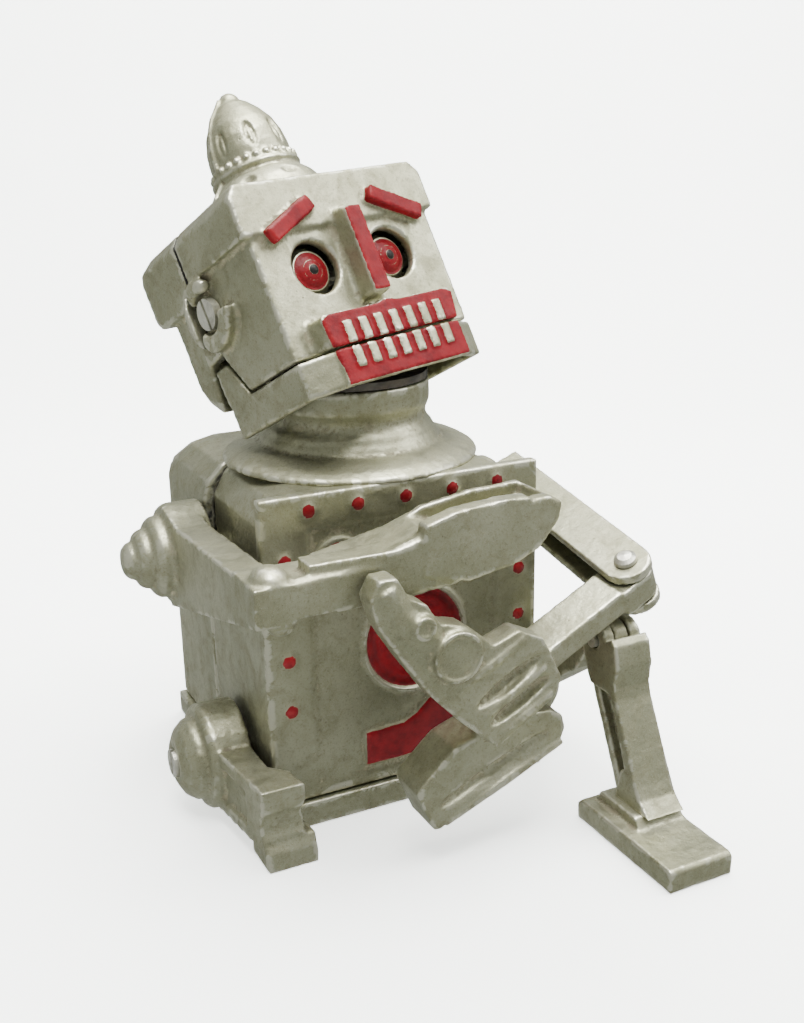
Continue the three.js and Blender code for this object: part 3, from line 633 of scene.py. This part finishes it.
drops, raised_drops, beads, fin = [], [], [], []
for k in range(8):
    a = 2 * math.pi * k / 8 + 0.35
    drops.append(round_crown(at(ball(1.5, 2.1, 4.6), 0, 0, 0, rx=-12), 11.6, 67.2, a))
    drops.append(round_crown(at(ball(2.6, 1.5, 1.9), 0, 0, 0, rx=-32), 15.9, 54.3, a + 0.39))
    raised_drops.append(round_crown(at(ball(0.8, 1.0, 3.2), 0, 0, 0, rx=-12), 10.2, 66.6, a))
for k in range(26):
    a = 2 * math.pi * k / 26
    beads.append(at(ball(1.0), 11.9 * math.sin(a), CROWN_Y - 11.9 * math.cos(a), 60.9))
for s in (1, -1):
    path = [(s * r, CROWN_Y, h)
            for r, h in ((17.3, 50.5), (15.9, 53.8), (12.5, 57.5), (12.0, 61), (11.8, 64.5), (11.2, 68.5),
                         (9.9, 72.5), (7.7, 76), (5.1, 79), (2.9, 81.4))]
    fin.append(sweep(path, [0.7 + 0.25 * math.sin(3.1 * i) for i in range(len(path))]))
rings = [at(torus(12.3, 0.8), 0, CROWN_Y, 58.9), at(torus(17.2, 0.6), 0, CROWN_Y, 49.2)]
casting("crown_casting", "crown_finial", "head", 0.42, first=3, last=1, grain=((2.4, 0.12), (0.8, 0.06)),
        base=in_head(rings), cuts=in_head(drops), details=in_head(beads + fin + raised_drops))

for side, name in ((1, "eyeball_left"), (-1, "eyeball_right")):
    iris = facing_front(torus(5.2, 0.45), 0, -6.5, 0)
    pupil = at(ball(1.3, 0.7, 1.3), 0, -8.2, 0)
    place = Matrix.Translation((EYE[0] * side, EYE[1], EYE[2]))
    casting(name + "_casting", name, "eyes", 0.32, base=in_head([moved(iris, place), moved(pupil, place)]),
            first=2, last=1, grain=((1.2, 0.05),), paint=eye_paint(side))

# ------------------------------------------------------------------ neck and body
skirt_profile = [(0, 91.0), (35.6, 91.0), (35.4, 92.2), (32.5, 93.9), (28, 95.2), (24, 96.2), (0, 96.2)]
collar_skirt = at(lathe(skirt_profile, 56), 0, TURN_Y, 0)
neck_bore = at(lathe([(0, 88), (19.3, 88), (19.3, 98), (0, 98)], 48), 0, TURN_Y, 0)
casting("neck_casting", "neck_collar", "body", 0.6, base=[collar_skirt], cuts=[neck_bore], first=11, last=2,
        grain=((4.0, 0.2), (0.9, 0.05)))

rivet_rims = [facing_front(torus(2.0, 0.3, 24, 8), x, -40.1, z) for x, z in RIVETS]
rivet_domes = [at(ball(1.6, 0.85, 1.6, 8, 16), x, -40.3, z) for x, z in RIVETS]
disc_rims = [facing_front(torus(r + 0.35, 0.65), x, -39.35, z) for x, z, r in [DISC] + SMALL_DISCS]
disc_ring = facing_front(torus(11.2, 0.55), DISC[0], -38.3, DISC[1])
disc_middle = at(ball(8.8, 0.9, 8.8), DISC[0], -38.2, DISC[1])
small_faces = [at(ball(r - 0.3, 0.8, r - 0.3), x, -39.3, z) for x, z, r in SMALL_DISCS]
casting("body_front_casting", "body_front_shell", "body", 0.62, first=7, last=1,
        details=rivet_rims + rivet_domes + disc_rims + [disc_ring] + small_faces
        + [disc_middle, prism(BAND, "y", -40.15, -38.6)],
        paint=body_paint)
casting("body_back_casting", "body_back_shell", "body", 0.65, first=7, last=1, paint=body_seam_painted_shade)
casting("base_casting", "base_plate", "body", 0.6, first=5, last=1)

# ------------------------------------------------------------------ arms
elbow_lumps = [at(ball(4.8, 5.4, 3.8), -46.4, -63.5, 80.2), at(ball(3.9, 3.4, 4.2), -44.8, -65.4, 71.4)]
wrist_blend = prism([(-38, -67.2), (-6, -68.0), (-6, -60), (-38, -60)], "z", 73, 83.5)
tray_rim = sweep([(-42, -67.0, 80), (-33, -66.6, 80.3), (-22, -66.0, 81.0), (-12, -65.9, 83.4),
                  (-3, -65.9, 86.8)], [1.2, 1.4, 1.2, 1.5, 1.2])
casting("right_arm_casting", "right_arm", "right_arm_body", 0.5, first=12, last=2,
        base=elbow_lumps + [tray_rim, wrist_blend], grain=((4.0, 0.2), (0.9, 0.08)))
casting("left_upper_arm_casting", "left_upper_arm", "left_upper_arm_body", 0.45, first=5, last=1)

disc_lip = facing_front(torus(6.0, 0.55), -5.7, -78.7, 58.4)
knuckle = facing_front(torus(2.3, 0.75, 28, 8), -14.7, -78.9, 67.7)
# Ridges and flutes between the fingers: x, y, z of the middle, half length, (radius,) slope in degrees.
RIDGES = [(4.2, -76.3, 53.9, 10.0, 29), (10.9, -76.3, 45.1, 9.8, 29.5), (14.4, -76.3, 38.4, 8.0, 29.8),
          (10.4, -72.3, 18.4, 18.5, 23.4)]
FLUTES = [(9.3, -77.5, 48, 11.2, 2.2, 29), (12.6, -77.5, 42.2, 10.4, 2.1, 29.5),
          (7.6, -73.5, 22.4, 18.0, 2.3, 22.8)]
finger_ridges = []
for x, y, z, half, slope in RIDGES:
    run, rise = half * math.cos(math.radians(slope)), half * math.sin(math.radians(slope))
    path = [(x - run, y, z - rise), (x, y - 0.3, z), (x + run, y, z + rise)]
    finger_ridges.append(sweep(path, [1.1, 1.4, 1.4]))
flutes = [at(ball(half, 3.4, radius), x, y, z, ry=-slope) for x, y, z, half, radius, slope in FLUTES]
thumb_rise = sweep([(-23.5, -74.4, 78), (-20, -74.6, 70.5), (-14.7, -74.8, 66), (-8.5, -74.6, 60)],
                   [4.0, 4.5, 4.4, 3.4])
disc_rise = at(ball(5.4, 2.6, 5.4), -5.7, -76.6, 57.6)
casting("left_hand_casting", "left_forearm_hand", "left_forearm_body", 0.42, first=5, last=1,
        base=[thumb_rise, disc_rise], cuts=flutes, details=[disc_lip, knuckle] + finger_ridges,
        grain=((3.0, 0.2), (0.9, 0.08)))

# ------------------------------------------------------------------ legs
casting("right_leg_casting", "right_leg", "right_leg_body", 0.5, first=9, last=1,
        grain=((3.0, 0.26), (0.9, 0.07)))
casting("left_thigh_casting", "left_thigh", "left_thigh_body", 0.45, first=8, last=1)
shin_flare = prism([(-92.4, 8.4), (-89.4, 10.2), (-87.4, 12.6), (-85.4, 17), (-80, 17), (-78, 8.4)],
                   "x", 41.1, 52.9)
casting("left_shin_casting", "left_shin", "left_shin_body", 0.42, first=10, last=1, base=[shin_flare],
        grain=((3.0, 0.2), (0.9, 0.06)))
casting("left_foot_casting", "left_foot", "left_shin_body", 0.45, first=10, last=1,
        grain=((3.0, 0.26), (0.9, 0.07)))

# ------------------------------------------------------------------ the pieces kept from the CAD
KEPT = {
    STEEL: ("ear_screw_left", "ear_screw_right", "left_hip_screw", "right_hip_screw", "tie_screw_upper",
            "tie_screw_lower", "elbow_pin", "knee_pin", "lever_pin", "eye_rocker", "push_rod",
            "return_spring"),
    CAST: ("arm_crank", "left_shoulder_collar", "operating_lever"),
    # The neck yoke takes the near-black painted shade.
    SHADE_DARK_CASTING: ("neck_yoke",),
    SHEET: ("coin_chute", "coin_trap_cover"),
}
for material, names in KEPT.items():
    for name in names:
        node = NODES[name]
        node.data.materials.clear()
        node.data.materials.append(material)
        if name != "return_spring":
            bevel = node.modifiers.new("edges", "BEVEL")
            bevel.width = 0.0002
            bevel.segments = 2
            bevel.limit_method = "ANGLE"
            bevel.angle_limit = math.radians(40)
            bevel.harden_normals = False
        node.data.shade_smooth()
        auto = node.modifiers.new("weighted", "WEIGHTED_NORMAL")
        auto.keep_sharp = True

# ------------------------------------------------------------------ floor, light and camera
CAMERA_PLACE = Vector((-0.1329, -0.3093, 0.1788))
YAW, PITCH, ROLL = 0.4553, 0.309, -0.0198    # the camera's turn, downward tilt and lean, in radians
LENS = 43.01                                 # in mm, on a sensor 36 mm wide


def cloth():
    m = Nodes("white_cloth")
    tone = m.mix(m.ramp(m.noise(3.0, 2), 0.3, 0.7), (0.93, 0.94, 0.92), (0.88, 0.90, 0.87))
    m.link(tone, m.shader.inputs["Base Color"])
    m.shader.inputs["Roughness"].default_value = 0.9
    m.shader.inputs["Emission Color"].default_value = (0.98, 1.0, 0.975, 1.0)
    m.shader.inputs["Emission Strength"].default_value = 1.5
    m.bump([(m.noise(1100, 2), 0.12, 0.0002), (m.noise(14, 3), 0.35, 0.006)])
    return m.material


# The sheet behind the figure: a floor that curves up into a wall, square to the camera.
profile = [(-1.2, 0.0), (0.35, 0.0)]
for k in range(1, 13):
    a = k * math.pi / 24
    profile.append((0.35 + 0.25 * math.sin(a), 0.25 - 0.25 * math.cos(a)))
profile += [(0.62, 0.6), (0.64, 1.6)]
turn = Matrix.Rotation(-YAW, 4, "Z")
verts, faces = [], []
for x in (-1.8, 1.8):
    verts += [tuple(turn @ Vector((x, y, z))) for y, z in profile]
n = len(profile)
faces = [(i, n + i, n + i + 1, i + 1) for i in range(n - 1)]
sheet = bpy.data.meshes.new("backdrop")
sheet.from_pydata(verts, [], faces)
sheet.shade_smooth()
backdrop = bpy.data.objects.new("backdrop", sheet)
backdrop.location.z = -0.0002
SCENE.collection.objects.link(backdrop)
sheet.materials.append(cloth())
backdrop.visible_glossy = False


def area_light(name, place, aim, size, power, colour=(1, 1, 1)):
    data = bpy.data.lights.new(name, "AREA")
    data.shape = "RECTANGLE"
    data.size, data.size_y = size
    data.energy = power
    data.color = colour
    obj = bpy.data.objects.new(name, data)
    obj.location = place
    obj.rotation_euler = (Vector(aim) - Vector(place)).to_track_quat("-Z", "Y").to_euler()
    SCENE.collection.objects.link(obj)


area_light("top_soft", (0.05, -0.12, 0.95), (0, 0, 0.08), (0.8, 0.6), 31.0, (1.0, 1.0, 0.985))
area_light("front_soft", (0.55, -0.9, 0.45), (0, 0, 0.09), (0.7, 0.7), 0.4, (1.0, 0.995, 0.98))
area_light("face_soft", (0.74, -0.32, 0.66), (0, 0, 0.14), (0.45, 0.45), 5.5, (1.0, 1.0, 0.99))
area_light("left_fill", (-0.9, -0.15, 0.4), (0, 0, 0.08), (0.6, 0.8), 0.3, (0.98, 1.0, 1.0))
area_light("back_wash", (0.12, 0.30, 0.70), (0.32, 0.62, 0.12), (0.9, 0.3), 9.0, (1.0, 1.0, 1.0))

world = bpy.data.worlds.new("room")
SCENE.world = world
world.use_nodes = True
world.node_tree.nodes["Background"].inputs["Color"].default_value = (0.93, 0.96, 0.93, 1)
world.node_tree.nodes["Background"].inputs["Strength"].default_value = 0.52

forward = Vector((math.sin(YAW) * math.cos(PITCH), math.cos(YAW) * math.cos(PITCH), -math.sin(PITCH)))
level = Vector((math.cos(YAW), -math.sin(YAW), 0))
upright = level.cross(forward)
right = level * math.cos(ROLL) + upright * math.sin(ROLL)
up = upright * math.cos(ROLL) - level * math.sin(ROLL)
camera = bpy.data.objects.new("camera", bpy.data.cameras.new("camera"))
camera.matrix_world = Matrix.Translation(CAMERA_PLACE) @ Matrix((right, up, -forward)).transposed().to_4x4()
camera.data.sensor_width = 36
camera.data.sensor_fit = "AUTO"
camera.data.lens = LENS
camera.data.clip_start = 0.01
SCENE.collection.objects.link(camera)
SCENE.camera = camera
